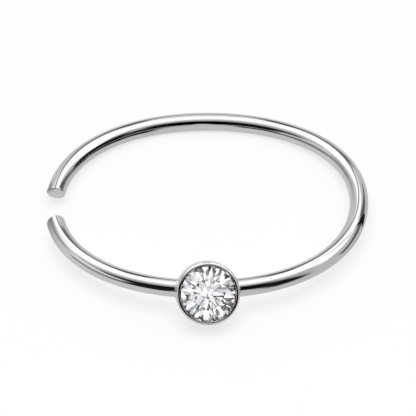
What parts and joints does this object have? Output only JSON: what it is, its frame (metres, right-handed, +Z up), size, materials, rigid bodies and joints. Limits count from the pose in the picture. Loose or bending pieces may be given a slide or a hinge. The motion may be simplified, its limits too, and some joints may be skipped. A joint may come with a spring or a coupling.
{
  "type": "open nose hoop with a bezel-set round stone",
  "caption": "Small open nose hoop of polished round wire with rounded ends, carrying a clear round brilliant stone in a plain soldered bezel cup at its front.",
  "frame": {"origin": "on the surface that the hoop rests on, under the middle of its outline", "axes": "+Z up from the surface, -Y towards the stone at the front, -X towards the opening between the free ends"},
  "size_m": [0.011, 0.0122, 0.0024],
  "materials": {
    "polished_metal": "mirror polish",
    "clear_stone": "polished facets"
  },
  "bodies": {
    "root": {"hoop_with_bezel": "polished_metal", "stone": "clear_stone"}
  },
  "joints": []
}
